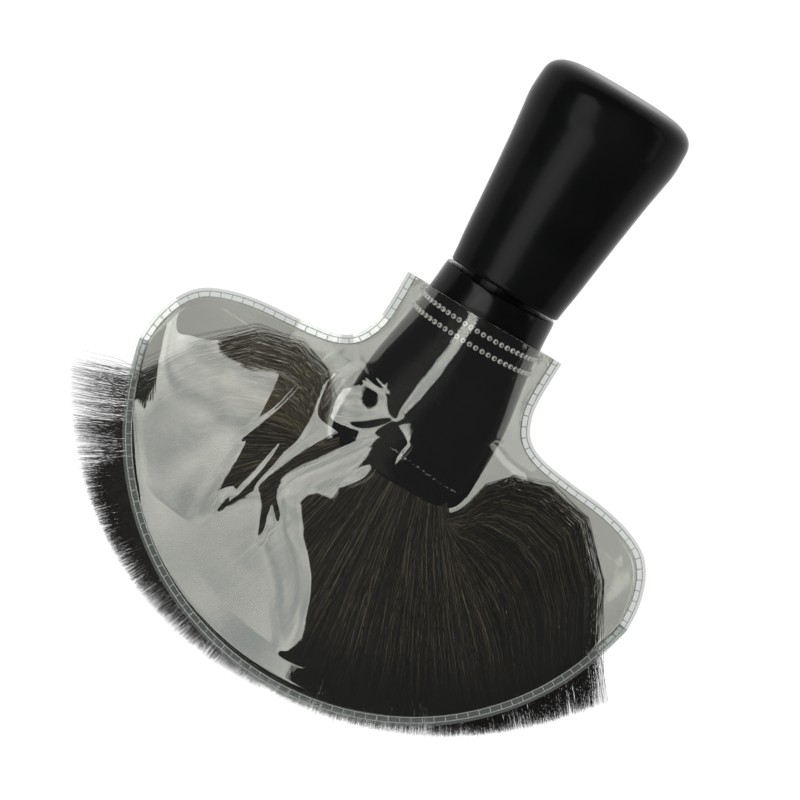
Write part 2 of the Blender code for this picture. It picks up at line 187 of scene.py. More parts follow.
# The view's turn and lean, its middle on the table, and the softbox by the view's own directions.
VIEW_TURN = math.radians(31.15)
VIEW_LEAN = math.radians(3.0)
VIEW_DISTANCE = 0.95
VIEW_MIDDLE = (-7.5, 92.6)
VIEW_WIDTH = 0.2
SOFTBOX_RIGHT, SOFTBOX_UP, SOFTBOX_HEIGHT = -0.69, 0.1, 1.0
SOFTBOX_SIZE = (0.84, 1.6)


def view_frame():
    c, s = math.cos(VIEW_TURN), math.sin(VIEW_TURN)
    return on_table(*VIEW_MIDDLE, 0.0), np.array([c, s, 0]), np.array([-s, c, 0])


def view_place(right, up, height):
    """A place by the view's own directions, in metres from its middle on the table."""
    middle, rightwards, upwards = view_frame()
    return tuple(middle + right * rightwards + up * upwards + np.array([0, 0, height]))


# Meshes ----------------------------------------------------------------------------------------
def mesh_piece(name, verts, faces, look, body, smooth=True, slot=None, replaces=(), tones=None):
    """A piece from points in metres and quads or triangles given as one array of corners."""
    verts, faces = np.asarray(verts, float).reshape(-1, 3), np.asarray(faces, int)
    mesh = bpy.data.meshes.new(name)
    mesh.vertices.add(len(verts))
    mesh.vertices.foreach_set("co", verts.ravel())
    mesh.loops.add(faces.size)
    mesh.loops.foreach_set("vertex_index", faces.ravel())
    mesh.polygons.add(len(faces))
    mesh.polygons.foreach_set("loop_start", np.arange(len(faces)) * faces.shape[1])
    mesh.update(calc_edges=True)
    mesh.validate()
    for label, values in (tones or {}).items():
        kind = "FLOAT" if np.ndim(values) == 1 else "FLOAT_VECTOR"
        layer = mesh.attributes.new(label, kind, "POINT")
        layer.data.foreach_set("value" if kind == "FLOAT" else "vector", np.ravel(values))
    if smooth:
        mesh.shade_smooth()
    mesh.materials.append(look)
    obj = bpy.data.objects.new(name, mesh)
    bpy.context.scene.collection.objects.link(obj)
    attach(obj, body)
    if replaces:
        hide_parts(*replaces)
    return obj


def ring_faces(rings, sides, closed):
    """Quads between rings of points; closed joins the last ring to the first."""
    i = np.arange(rings if closed else rings - 1)[:, None]
    k = np.arange(sides)[None, :]
    n = (k + 1) % sides
    here, there = i * sides, (i + 1) % rings * sides
    return np.stack([here + k, here + n, there + n, there + k], axis=-1).reshape(-1, 4)


def grid_faces(rows, columns):
    i = np.arange(rows - 1)[:, None] * columns
    k = np.arange(columns - 1)[None, :]
    a = i + k
    return np.stack([a, a + 1, a + 1 + columns, a + columns], axis=-1).reshape(-1, 4)


def oval_ring(s, half_width, half_depth, sides, shift=None):
    angle = np.linspace(0, 2 * np.pi, sides, endpoint=False)
    x, up = half_width * np.cos(angle), half_depth * np.sin(angle)
    return on_axis(x, s + (shift(x, up) if shift else 0.0), up)


def refine(profile, times):
    """The same outline with more points, on a smooth curve."""
    return smooth_curve(profile, np.linspace(0, len(profile) - 1, times * (len(profile) - 1) + 1))


# Materials -------------------------------------------------------------------------------------
def node_material(name):
    made = bpy.data.materials.new(name)
    made.use_nodes = True
    tree = made.node_tree
    shader = tree.nodes["Principled BSDF"]
    return made, tree, shader


def add_noise(tree, scale, detail=4.0, roughness=0.55, source="Object", stretch=None):
    """A noise texture on object coordinates, or on a stored attribute."""
    noise = tree.nodes.new("ShaderNodeTexNoise")
    noise.inputs["Scale"].default_value = scale
    noise.inputs["Detail"].default_value = detail
    noise.inputs["Roughness"].default_value = roughness
    if source == "Object":
        place = tree.nodes.new("ShaderNodeTexCoord").outputs["Object"]
    else:
        stored = tree.nodes.new("ShaderNodeAttribute")
        stored.attribute_name = source
        place = stored.outputs["Vector"]
    if stretch:
        mapping = tree.nodes.new("ShaderNodeMapping")
        mapping.inputs["Scale"].default_value = stretch
        tree.links.new(place, mapping.inputs["Vector"])
        place = mapping.outputs["Vector"]
    tree.links.new(place, noise.inputs["Vector"])
    return noise


def add_ramp(tree, source, stops):
    """A colour ramp: stops are (position, colour or grey)."""
    ramp = tree.nodes.new("ShaderNodeValToRGB")
    for index, (position, colour) in enumerate(stops):
        spots = ramp.color_ramp.elements
        spot = spots[index] if index < len(spots) else spots.new(position)
        spot.position = position
        colour = (colour,) * 3 if isinstance(colour, (int, float)) else colour
        spot.color = (*colour, 1.0)
    tree.links.new(source, ramp.inputs["Fac"])
    return ramp


def add_bump(tree, height, strength, distance):
    bump = tree.nodes.new("ShaderNodeBump")
    bump.inputs["Strength"].default_value = strength
    bump.inputs["Distance"].default_value = distance
    tree.links.new(height, bump.inputs["Height"])
    return bump


def satin_black():
    """Soft-touch lacquer: nearly black, with a fine orange-peel and a few dull, rubbed patches."""
    made, tree, shader = node_material("handle_soft_black")
    cloudy = add_noise(tree, 60.0, 5.0)
    colour = add_ramp(tree, cloudy.outputs["Fac"],
                      [(0.3, (0.0026, 0.0027, 0.0028)), (0.75, (0.0045, 0.0046, 0.0047))])
    tree.links.new(colour.outputs["Color"], shader.inputs["Base Color"])
    rough = add_ramp(tree, cloudy.outputs["Fac"], [(0.3, 0.2), (0.8, 0.26)])
    tree.links.new(rough.outputs["Color"], shader.inputs["Roughness"])
    grain = add_noise(tree, 2600.0, 2.0)
    bump = add_bump(tree, grain.outputs["Fac"], 0.12, 0.00005)
    tree.links.new(bump.outputs["Normal"], shader.inputs["Normal"])
    shader.inputs["Specular IOR Level"].default_value = 0.05
    return made


def gloss_black(name="ferrule_gloss_black", roughness=0.16):
    made, tree, shader = node_material(name)
    cloudy = add_noise(tree, 90.0, 4.0)
    colour = add_ramp(tree, cloudy.outputs["Fac"],
                      [(0.3, (0.0018, 0.0018, 0.002)), (0.8, (0.0034, 0.0034, 0.0036))])
    tree.links.new(colour.outputs["Color"], shader.inputs["Base Color"])
    rough = add_ramp(tree, cloudy.outputs["Fac"], [(0.3, roughness), (0.8, roughness + 0.07)])
    tree.links.new(rough.outputs["Color"], shader.inputs["Roughness"])
    wave = add_noise(tree, 140.0, 2.0)
    bump = add_bump(tree, wave.outputs["Fac"], 0.1, 0.0001)
    tree.links.new(bump.outputs["Normal"], shader.inputs["Normal"])
    shader.inputs["Specular IOR Level"].default_value = 0.1
    return made


def plain_grainy(name, dark, light, roughness, scale, metallic=0.0):
    made, tree, shader = node_material(name)
    grain = add_noise(tree, scale, 5.0)
    colour = add_ramp(tree, grain.outputs["Fac"], [(0.3, dark), (0.72, light)])
    tree.links.new(colour.outputs["Color"], shader.inputs["Base Color"])
    shader.inputs["Roughness"].default_value = roughness
    shader.inputs["Metallic"].default_value = metallic
    bump = add_bump(tree, grain.outputs["Fac"], 0.3, 0.0001)
    tree.links.new(bump.outputs["Normal"], shader.inputs["Normal"])
    return made


def stone_silver():
    """Foiled glass, silvery, painted near-white round its rim as glints and painted dark in its flat
    top as the dark it reflects.
    """
    made, tree, shader = node_material("stone_silver")
    painted_brightness = tree.nodes.new("ShaderNodeAttribute")
    painted_brightness.attribute_name = "painted_brightness"
    # painted highlight and shade: near-white for the glints round the rim, dark for the reflection in
    # the flat top
    colour = add_ramp(tree, painted_brightness.outputs["Fac"],
                      [(0.25, (0.015, 0.015, 0.018)), (0.75, (0.98, 0.98, 1.0))])
    tree.links.new(colour.outputs["Color"], shader.inputs["Base Color"])
    shader.inputs["Roughness"].default_value = 0.3
    shader.inputs["Metallic"].default_value = 0.1
    sparkle = add_noise(tree, 1800.0, 1.0)
    bump = add_bump(tree, sparkle.outputs["Fac"], 0.5, 0.0002)
    tree.links.new(bump.outputs["Normal"], shader.inputs["Normal"])
    return made


def hair_material():
    """Strand colour comes from two numbers stored on the strands: their tone, and place along."""
    made, tree, shader = node_material("bristle_fibre")
    tone = tree.nodes.new("ShaderNodeAttribute")
    tone.attribute_name = "tone"
    colour = add_ramp(
        tree,
        tone.outputs["Fac"],
        [
            (0.0, (0.006, 0.005, 0.0045)),
            (0.3, (0.022, 0.017, 0.0135)),
            (0.6, (0.075, 0.056, 0.042)),
            (0.85, (0.19, 0.15, 0.11)),
            (1.0, (0.38, 0.33, 0.19)),
        ],
    )
    tree.links.new(colour.outputs["Color"], shader.inputs["Base Color"])
    shader.inputs["Roughness"].default_value = 0.42
    shader.inputs["Specular IOR Level"].default_value = 0.4
    return made


def core_material():
    made, tree, shader = node_material("bristle_core")
    streaks = add_noise(tree, 1.0, 3.0, source="fan_place", stretch=(260.0, 9.0, 1.0))
    colour = add_ramp(tree, streaks.outputs["Fac"],
                      [(0.35, (0.003, 0.0027, 0.0025)), (0.75, (0.016, 0.011, 0.009))])
    tree.links.new(colour.outputs["Color"], shader.inputs["Base Color"])
    shader.inputs["Roughness"].default_value = 0.7
    shader.inputs["Specular IOR Level"].default_value = 0.15
    return made


def film_material(name, tint, haze, haze_colour=(0.55, 0.57, 0.55), roughness=0.012, ripple=0.04):
    """Thin clear PVC: tinted see-through, glossy by Fresnel, with a little haze in it."""
    made, tree, shader = node_material(name)
    tree.nodes.remove(shader)
    out = next(n for n in tree.nodes if n.type == "OUTPUT_MATERIAL")
    fine = add_noise(tree, 1.0, 3.0, source="fan_place", stretch=(55.0, 2.5, 1.0))
    bump = add_bump(tree, fine.outputs["Fac"], ripple, 0.0006)
    clear = tree.nodes.new("ShaderNodeBsdfTransparent")
    cloudy = add_noise(tree, 45.0, 3.0)
    tinted = add_ramp(
        tree,
        cloudy.outputs["Fac"],
        [(0.3, tuple(0.97 * c for c in tint)), (0.7, tuple(min(1.0, 1.03 * c) for c in tint))],
    )
    tree.links.new(tinted.outputs["Color"], clear.inputs["Color"])
    gloss = tree.nodes.new("ShaderNodeBsdfGlossy")
    gloss.inputs["Roughness"].default_value = roughness
    gloss.inputs["Color"].default_value = (1.0, 1.0, 0.97, 1.0)
    tree.links.new(bump.outputs["Normal"], gloss.inputs["Normal"])
    # a thin film mirrors as much where light leaves it as where it enters
    facing = tree.nodes.new("ShaderNodeFresnel")
    side = tree.nodes.new("ShaderNodeNewGeometry")
    index = tree.nodes.new("ShaderNodeMapRange")
    index.inputs["To Min"].default_value = PVC_INDEX
    index.inputs["To Max"].default_value = 1 / PVC_INDEX
    tree.links.new(side.outputs["Backfacing"], index.inputs["Value"])
    tree.links.new(index.outputs["Result"], facing.inputs["IOR"])
    tree.links.new(bump.outputs["Normal"], facing.inputs["Normal"])
    shiny = tree.nodes.new("ShaderNodeMixShader")
    tree.links.new(facing.outputs["Fac"], shiny.inputs["Fac"])
    tree.links.new(clear.outputs["BSDF"], shiny.inputs[1])
    tree.links.new(gloss.outputs["BSDF"], shiny.inputs[2])
    milky = tree.nodes.new("ShaderNodeBsdfDiffuse")
    milky.inputs["Color"].default_value = (*haze_colour, 1.0)
    both = tree.nodes.new("ShaderNodeMixShader")
    both.inputs["Fac"].default_value = haze
    tree.links.new(shiny.outputs["Shader"], both.inputs[1])
    tree.links.new(milky.outputs["BSDF"], both.inputs[2])
    tree.links.new(both.outputs["Shader"], out.inputs["Surface"])
    return made


# Handle, ferrule, stones -----------------------------------------------------------------------
def out_of_square(_x, up):
    mouth = HANDLE_PROFILE[-1][1]
    return -SEAM_OPENING * np.clip((1 + up / mouth) / 2, 0, 1) ** 2.2


def capped_loft(name, rings, look, body, **more):
    """A closed solid through rings of points, its two ends closed by fans of triangles."""
    sides = len(rings[0])
    points = np.concatenate(rings + [rings[0].mean(0)[None], rings[-1].mean(0)[None]])
    quads = ring_faces(len(rings), sides, False)
    k = np.arange(sides)
    n = (k + 1) % sides
    tris = np.concatenate([quads[:, [0, 1, 2]], quads[:, [0, 2, 3]]])
    first, last = len(rings) * sides, (len(rings) - 1) * sides
    start_cap = np.stack([n, k, np.full(sides, first)], -1)
    end_cap = np.stack([last + k, last + n, np.full(sides, first + 1)], -1)
    return mesh_piece(name, points, np.concatenate([tris, start_cap, end_cap]), look, body, **more)


def make_handle():
    sides = 160
    mouth = HANDLE_PROFILE[-1]
    edge = 0.35

    def turned(s, r, shift=None):
        aside = (HANDLE_OFFSET + HANDLE_LEAN * (HANDLE_MOUTH - s)) * MM
        return oval_ring(s, r, r, sides, shift) + np.array([aside, 0, 0])

    rings = [turned(s, r) for s, r in refine(HANDLE_PROFILE, 6) if s < 54.0]
    rings.append(turned(mouth[0] - edge, mouth[1] + 0.03, out_of_square))
    rings.append(turned(mouth[0], mouth[1] - edge, out_of_square))
    rings.append(oval_ring(mouth[0], TENON_HOLE, TENON_HOLE, sides, out_of_square))
    rings.append(oval_ring(26.0, TENON_HOLE, TENON_HOLE, sides))
    obj = capped_loft("handle_turned", rings, satin_black(), "brush", slot="handle_black",
                      replaces=("handle",))
    obj.data.set_sharp_from_angle(angle=math.radians(50))
    return obj


def rounded_corner(x, _up):
    past = np.maximum(np.abs(x) - (FERRULE_PROFILE[-1][1] - FERRULE_CORNER), 0.0)
    return -0.9 * (FERRULE_CORNER - np.sqrt(np.maximum(0.0, FERRULE_CORNER**2 - past**2)))


def make_ferrule():
    """The flared ferrule, hollow from its open end, its corners drawn back near the rim."""
    sides = 160
    rings = [oval_ring(65.65, TENON_HOLE, TENON_HOLE, sides)]
    rings.append(oval_ring(56.0, TENON_HOLE, TENON_HOLE, sides))
    outline = refine(FERRULE_PROFILE, 6)
    for s, w, d in outline:
        share = np.clip((s - 104.0) / 5.5, 0, 1)
        rings.append(oval_ring(s, w, d, sides, lambda x, up, k=share: k * rounded_corner(x, up)))
    inner = FERRULE_PROFILE[-1]
    w, d = inner[1] - FERRULE_WALL, inner[2] - FERRULE_WALL
    rings.append(oval_ring(inner[0] + 0.12, w + 0.8, d + 0.8, sides, rounded_corner))
    rings.append(oval_ring(inner[0], w, d, sides, rounded_corner))
    rings += [oval_ring(s, w - 0.05 * k, d, sides) for k, s in enumerate((103.0, 92.0, 80.0))]
    obj = capped_loft("ferrule_flared", rings, gloss_black(), "brush", slot="ferrule_black",
                      replaces=("ferrule",))
    obj.data.set_sharp_from_angle(angle=math.radians(50))
    return obj


def make_stone_band(node, middle, silver, setting):
    """Domed stones with a small flat top, each in a black cup, in a ring round the ferrule."""
    # radius, height and painted brightness of each ring: the near-white rings are painted glints, the
    # dark flat top a painted reflection
    tiers = [(0.68, 0.08, 0.9), (0.64, 0.34, 1.0), (0.46, 0.55, 1.0), (0.26, 0.62, 0.35),
             (0.01, 0.62, 0.0)]
    cup = [(0.84, -0.15, 0), (0.84, 0.14, 0), (0.74, 0.18, 0), (0.68, 0.02, 0)]
    sides = 12
    w, d = table_value(FERRULE_PROFILE, middle, 1), table_value(FERRULE_PROFILE, middle, 2)
    turn = np.linspace(0, 2 * np.pi, sides, endpoint=False)
    stones, cups, stone_painted_brightness = [], [], []
    for k in range(STONES_PER_ROW):
        angle = 2 * math.pi * (k + 0.5) / STONES_PER_ROW
        out = np.array([math.cos(angle) / w, math.sin(angle) / d])
        out /= np.linalg.norm(out)
        along = np.array([-out[1], out[0]])
        centre = np.array([w * math.cos(angle), d * math.sin(angle)])
        spin, lean = RNG.uniform(0, 6.28), RNG.uniform(-0.12, 0.12, 2)
        for tier, rings in ((tiers, stones), (cup, cups)):
            for radius, height, painted_brightness in tier:
                across, down = radius * np.cos(turn + spin), radius * np.sin(turn + spin)
                lift = height + (lean[0] * across + lean[1] * down) * (tier is tiers)
                place = centre + across[:, None] * along + lift[:, None] * out
                rings.append(on_axis(place[:, 0], middle + down, place[:, 1]))
                if tier is tiers:
                    stone_painted_brightness.append(np.full(sides, float(painted_brightness)))
    count = STONES_PER_ROW

    def stacks(size):
        one = ring_faces(size, sides, False)
        return (one[None] + (np.arange(count) * size * sides)[:, None, None]).reshape(-1, 4)

    mesh_piece(node + "_stones", np.concatenate(stones), stacks(len(tiers)), silver, "brush",
               smooth=False, slot="stone_trim", replaces=(node,),
               tones={"painted_brightness": np.concatenate(stone_painted_brightness)})
    mesh_piece(node + "_cups", np.concatenate(cups), stacks(len(cup)), setting, "brush",
               slot="ferrule_black")


def make_glint_specks(look):
    """Small near-white specks in an uneven line round the upper side of the ferrule, near its end:
    painted glints.
    """
    corners = np.array([(1, 0, 0), (0, 1, 0), (-1, 0, 0), (0, -1, 0), (0, 0, 1), (0, 0, -1)], float)
    sides = np.array([(0, 1, 4), (1, 2, 4), (2, 3, 4), (3, 0, 4),
                      (1, 0, 5), (2, 1, 5), (3, 2, 5), (0, 3, 5)])
    x = np.sort(RNG.uniform(-5, 16, SPECKS))
    s = 102.6 + 0.1 * x + RNG.normal(0, 0.12, SPECKS)
    width, depth = table_value(FERRULE_PROFILE, s, 1), table_value(FERRULE_PROFILE, s, 2)
    up = depth * np.sqrt(1 - (x / width) ** 2) + 0.02
    size = RNG.uniform(0.06, 0.2, (SPECKS, 1, 1))
    place = np.stack([x, s, up], -1)[:, None] + size * corners
    faces = (sides[None] + 6 * np.arange(SPECKS)[:, None, None]).reshape(-1, 3)
    mesh_piece("glint_specks", on_axis(*np.moveaxis(place.reshape(-1, 3), -1, 0)), faces, look, "brush",
               smooth=False, slot="ferrule_black")


# Bristles --------------------------------------------------------------------------------------
def polar(angle, radius):
    return np.stack([radius * np.sin(angle), FAN_CENTRE + radius * np.cos(angle)], axis=-1)


def strand_plan(angle, u):
    """Where strands run on the table: angle is each one's place in the fan at its tip."""
    side = np.where(angle < 0, -1.0, 1.0)[:, None]
    size = np.abs(angle)
    tips = polar(angle, tip_radius(angle))
    root_x = ROOT_HALF_WIDTH * np.clip(angle / FAN_SPLIT, -1, 1)
    roots = np.stack([root_x, np.full_like(angle, 108.0)], -1)
    straight = roots[:, None] + u[None, :, None] * (tips - roots)[:, None]
    # the outer strands run between the last straight one and the edge of the wing
    corner = polar(side[:, 0] * FAN_SPLIT, tip_radius(side[:, 0] * FAN_SPLIT))
    inner_root = np.stack([ROOT_HALF_WIDTH * side[:, 0], np.full_like(size, ROOT_AT)], -1)
    inner = inner_root[:, None] + u[None, :, None] * (corner - inner_root)[:, None]
    outermost = np.where(side < 0, LEFT_END, RIGHT_END)
    lasts = polar(outermost[:, 0] * side[:, 0], TIP_RADIUS + 10 + 0 * side[:, 0])
    edge = smooth_curve([(14.8, 106.5)] + WING_EDGE, u / 0.8 * len(WING_EDGE))
    outer = np.stack([edge[None, :, 0] * side, np.repeat(edge[None, :, 1], len(side), 0)], -1)
    past = np.clip((u - 0.8) / 0.2, 0, 1)[None, :, None]
    outer = outer * (1 - past) + (outer[:, -1:] * (1 - past) + lasts[:, None] * past) * past
    share = np.clip((size[:, None] - FAN_SPLIT) / (outermost - FAN_SPLIT), 0, 1)[..., None]
    bent = inner * (1 - share) + outer * share
    reach = bent[:, -1] - np.array([0, FAN_CENTRE])
    length = np.linalg.norm(reach, axis=-1, keepdims=True)
    extra = reach / length * (tip_radius(angle)[:, None] - length)
    bent = bent + extra[:, None] * (u**5)[None, :, None]
    return np.where((size > FAN_SPLIT)[:, None, None], bent, straight)


def tubes(paths, radii, sides=3):
    """Thin tubes along many paths at once: paths is (strands, points, 3), radii matches it."""
    count, points, _ = paths.shape
    along = np.gradient(paths, axis=1)
    along /= np.linalg.norm(along, axis=-1, keepdims=True) + 1e-12
    up = np.array([0.0, 0.0, 1.0])
    across = np.cross(along, up)
    across /= np.linalg.norm(across, axis=-1, keepdims=True) + 1e-12
    normal = np.cross(across, along)
    turn = np.linspace(0, 2 * np.pi, sides, endpoint=False) + np.pi / 6
    ring = (across[:, :, None] * np.cos(turn)[:, None] + normal[:, :, None] * np.sin(turn)[:, None])
    verts = paths[:, :, None] + radii[:, :, None, None] * ring
    quads = ring_faces(points, sides, False)
    faces = (quads[None] + (np.arange(count) * points * sides)[:, None, None]).reshape(-1, 4)
    return verts.reshape(-1, 3), faces


def make_strands(name, low, high, count, look, replaces=(), points=11):
    """Strands whose tips lie between two angles of the fan."""
    clumps = max(6, count // STRANDS_PER_CLUMP)
    clump_angle = np.sort(RNG.uniform(low, high, clumps))
    clump_layer = RNG.uniform(-1, 1, clumps)
    clump_bend = RNG.normal(0, 1, (clumps, 2))
    mine = RNG.randint(0, clumps, count)
    angle = np.clip(clump_angle[mine] + RNG.normal(0, math.radians(1.1), count), low, high)
    # towards the edge of the left wing the strands are few, so that the table shows between them
    ragged = (angle < 0) & (np.abs(angle) > math.radians(57))
    share = np.interp(-np.degrees(angle), [50, 57, 63], [1.0, 0.5, 0.2])
    keep = RNG.uniform(0, 1, count) < share
    mine, angle, ragged = mine[keep], angle[keep], ragged[keep]
    count = len(angle)
    pick = RNG.uniform(0, 1, count)
    layer = np.where(pick < 0.6, 1 - 0.32 * RNG.uniform(0, 1, count) ** 1.3,
                     np.where(pick < 0.78, -1 + 0.3 * RNG.uniform(0, 1, count),
                              RNG.uniform(-0.8, 0.8, count)))
    layer = np.clip(layer + 0.06 * clump_layer[mine], -1, 1)
    size = np.abs(angle)
    ends = np.where(angle < 0, LEFT_END, RIGHT_END)
    loose = np.clip((size - math.radians(50)) / (ends - math.radians(50)), 0, 1)
    fray = np.where(angle < 0, 0.11, 0.045)
    cut = 1 - fray * RNG.uniform(0, 1, count) ** 2.4 + np.abs(RNG.normal(0, 0.006, count))
    u = np.linspace(0, 1, points)
    plan = strand_plan(angle, u)
    start = plan[:, :1]
    plan = start + (plan - start) * cut[:, None, None]
    # sideways waves, larger towards the loose outer strands
    ahead = np.gradient(plan, axis=1)
    ahead /= np.linalg.norm(ahead, axis=-1, keepdims=True) + 1e-9
    sideways = np.stack([-ahead[..., 1], ahead[..., 0]], -1)
    phase = RNG.uniform(0, 2 * np.pi, count)[:, None]
    waves = RNG.uniform(1.2, 3.4, count)[:, None]
    swing = (0.42 + 0.4 * loose)[:, None] * np.sin(waves * 2 * np.pi * u[None] + phase)
    swing += clump_bend[mine, :1] * 0.5 * np.sin(np.pi * u)[None]
    swing += RNG.normal(0, STRAY_SIDEWAYS, count)[:, None] * (u * (1 - 0.6 * u))[None]
    plan = plan + sideways * (swing * np.minimum(1, 6 * u)[None])[..., None]
    x, s = plan[..., 0], plan[..., 1]
    middle, depth = fan_middle(x, s), fan_depth(x, s)
    # the bundle leaves the ferrule inside its mouth, then swells to the fan's full depth
    free = np.clip((np.hypot(x, s - FAN_CENTRE) - 9.5) / 11, 0, 1) ** 0.7
    cup = 8.0 * np.sqrt(np.clip(1 - (x / 17.4) ** 2, 0.05, 1))
    half = depth * free + cup * (1 - free)
    centre = middle * free + (axis_height(ROOT_AT) + 0.2) * (1 - free)
    z = centre + layer[:, None] * 0.97 * half
    z = np.maximum(z + 0.12 * np.sin(waves * 5 * u[None] + phase), FAN_FLOOR + 0.05)
    # tips that stick out past the hem droop to the table
    past = np.clip((np.hypot(x, s - HEM_CENTRE) - HEM_RADIUS) / 12, 0, 1)
    z = z * (1 - 0.45 * past)
    paths = on_table(x, s, z)
    width = RNG.uniform(*STRAND_RADIUS, count)
    taper = np.clip((1 - u) / 0.22, 0.0, 1) ** 0.6 * 0.76 + 0.24
    verts, faces = tubes(paths, width[:, None] * taper[None] * MM)
    tone = RNG.beta(0.9, 2.2, count) + 0.05 * clump_layer[mine]
    light = RNG.uniform(0, 1, count) < LIGHT_STRANDS
    tone = np.clip(np.where(light, RNG.uniform(0.75, 0.95, count), tone), 0, 0.92)
    tone = np.clip(np.where(ragged, RNG.uniform(0.5, 1.0, count), tone), 0, 1)
    along = np.clip(1 - np.maximum(0, (u - 0.66) / 0.24) * 0.85, 0.12, 1)
    shade = np.repeat((tone[:, None] * along[None]).ravel(), 3)
    return mesh_piece(name, verts, faces, look, "brush", slot="bristle", replaces=replaces,
                      tones={"tone": shade})


def make_core(look):
    """The dark mass of the bundle under the outer strands."""
    rows, columns = 40, 60
    spread = math.radians(50)
    angle = np.linspace(-spread, spread, columns)
    u = np.linspace(0.0, CORE_END, rows)
    plan = strand_plan(angle, u).transpose(1, 0, 2)
    x, s = plan[..., 0], plan[..., 1]
    free = np.clip((np.hypot(x, s - FAN_CENTRE) - 9.5) / 14, 0, 1)
    cup = 6.6 * np.sqrt(np.clip(1 - (x / 17.0) ** 2, 0.05, 1))
    thin = np.clip((1 - np.abs(angle) / spread) * 6, 0.1, 1)[None]
    end = np.clip((CORE_END - u) / 0.12, 0.12, 1)[:, None] ** 0.5
    half = (fan_depth(x, s) * free * 0.62 + cup * (1 - free)) * thin * end
    centre = fan_middle(x, s) * free + (axis_height(ROOT_AT) + 0.2) * (1 - free)
    top, bottom = centre + half, np.maximum(centre - half, FAN_FLOOR + 0.5)
    points = np.concatenate([on_table(x, s, top).reshape(-1, 3), on_table(x, s, bottom).reshape(-1, 3)])
    upper = grid_faces(rows, columns)
    under = rows * columns
    rim = list(range(columns)) + [i * columns + columns - 1 for i in range(1, rows)]
    rim += [under - 1 - k for k in range(1, columns)] + [i * columns for i in range(rows - 2, 0, -1)]
    wall = [(a, a + under, b + under, b) for a, b in zip(rim, rim[1:] + rim[:1])]
    faces = np.concatenate([upper, upper[:, ::-1] + under, np.array(wall)])
    place = np.stack([np.broadcast_to(angle, x.shape), np.broadcast_to(u[:, None], x.shape), 0 * x], -1)
    place = np.concatenate([place.reshape(-1, 3)] * 2)
    return mesh_piece("bristle_mass", points, faces, look, "brush", slot="bristle",
                      tones={"fan_place": place})


# Cover -----------------------------------------------------------------------------------------
def cover_side(at, inward):
    here = smooth_curve(COVER_SIDE, at)
    ahead = smooth_curve(COVER_SIDE, np.minimum(at + 0.05, len(COVER_SIDE) - 1))
    behind = smooth_curve(COVER_SIDE, np.maximum(at - 0.05, 0))
    along = ahead - behind
    along /= np.linalg.norm(along, axis=-1, keepdims=True)
    return here + np.stack([-along[..., 1], along[..., 0]], -1) * inward


def ferrule_side(x, s, sign):
    """Height of the top or the underside of the ferrule, which the film bridges at its two sides."""
    width = table_value(FERRULE_PROFILE, s, 1) + 1.0
    depth = table_value(FERRULE_PROFILE, s, 2) * np.sqrt(np.clip(1 - (x / width) ** 2, 0, 1))
    gone = np.clip((s - 106.0) / 6.0, 0, 1) * 14 + 1.6 * np.maximum(np.abs(x) - width, 0)
    return axis_height(s) + sign * depth * COS - sign * gone


def hair_cover(x, s):
    """Height at which the film lies over the fan: it spans the fan's thin sides in a gentle slope."""
    angle, edge = fan_side(x, s)
    share = angle / (edge + 4)
    round_over = 0.9 * np.sqrt(np.clip(1 - share**2, 0.04, 1)) + 0.1
    gone = np.clip(share - 0.9, 0, 2) * 38
    return fan_middle(x, s) + FAN_DEPTH * round_over + FAN_CLEARANCE - gone


def hair_top(x, s):
    """Top of the hair itself; beyond its sides, and behind the ferrule's end, it drops away."""
    angle, edge = fan_side(x, s)
    return fan_top(x, s) - 30 * np.maximum(angle / edge - 1.0, 0)


def smooth_max(a, b, soft):
    return (a + b + np.sqrt((a - b) ** 2 + soft**2)) / 2


def arc_share(across):
    reach = HEM_RADIUS / COVER_SIDE[-1][0]
    foot = math.sqrt(reach**2 - 1)
    return (np.sqrt(np.maximum(reach**2 - across**2, 0)) - foot) / (reach - foot)


# Folds of the top film: (x, s) along the crest towards the tips, the crest's height, and how wide
# its flanks are towards -X and towards +X.
FOLDS = [
    # the big fold, from the flange past the ferrule's shoulder into the left half of the fan
    ([(-31, 86), (-35, 98), (-37, 112), (-38, 127), (-40, 146)], 3.2, 46, 15),
    # three fine creases on its right flank
    ([(-25, 84), (-29, 96), (-32, 110), (-38, 124)], 0.6, 1.5, 1.9),
    ([(-23, 93), (-28, 99), (-30, 113)], 0.5, 1.0, 1.7),
    ([(-27, 115), (-28, 125), (-31, 138)], 0.4, 1.1, 1.9),
    # the long fold that comes off the ferrule's end beside it
    ([(-4, 98), (-8, 105), (-14, 115), (-21, 125), (-25, 131)], 2.4, 9, 17),
    # the film falls away from here to the right
    ([(-24, 128), (-16, 132), (-4, 141), (1, 153), (2, 163)], 1.8, 11, 15),
    # the facet over the ferrule's shoulder: a steep near side, a broad far side and a firm lower edge
    ([(-20, 89), (-21, 97), (-22, 106)], 2.6, 4, 13),
    ([(-4, 95), (-12, 103), (-23, 106)], 0.9, 2.5, 2.5),
    # a ridge down the neck, which starts above the cover's edge
    ([(0, 46), (-1, 66), (-4, 86), (-6, 97)], 2.4, 10, 9),
    # a crease that runs in from the flange
    ([(-25, 82), (-22, 88), (-17, 91.5), (-10, 92)], 0.6, 1.7, 1.4),
    # soft folds lower down
    ([(-24, 130), (-31, 134), (-33, 141)], 0.45, 2.3, 2.3),
    ([(-23, 130), (-20, 136), (-19, 142)], 0.35, 2.3, 2.3),
    # small dents beside the ferrule's end and in the right flange
    ([(-4, 109), (-5, 113), (-9, 119)], 1.0, 2.8, 1.0),
    ([(1, 99), (0, 106)], 0.6, 1.4, 0.7),
    ([(25, 86), (18, 89)], 0.35, 1.3, 1.1),
]


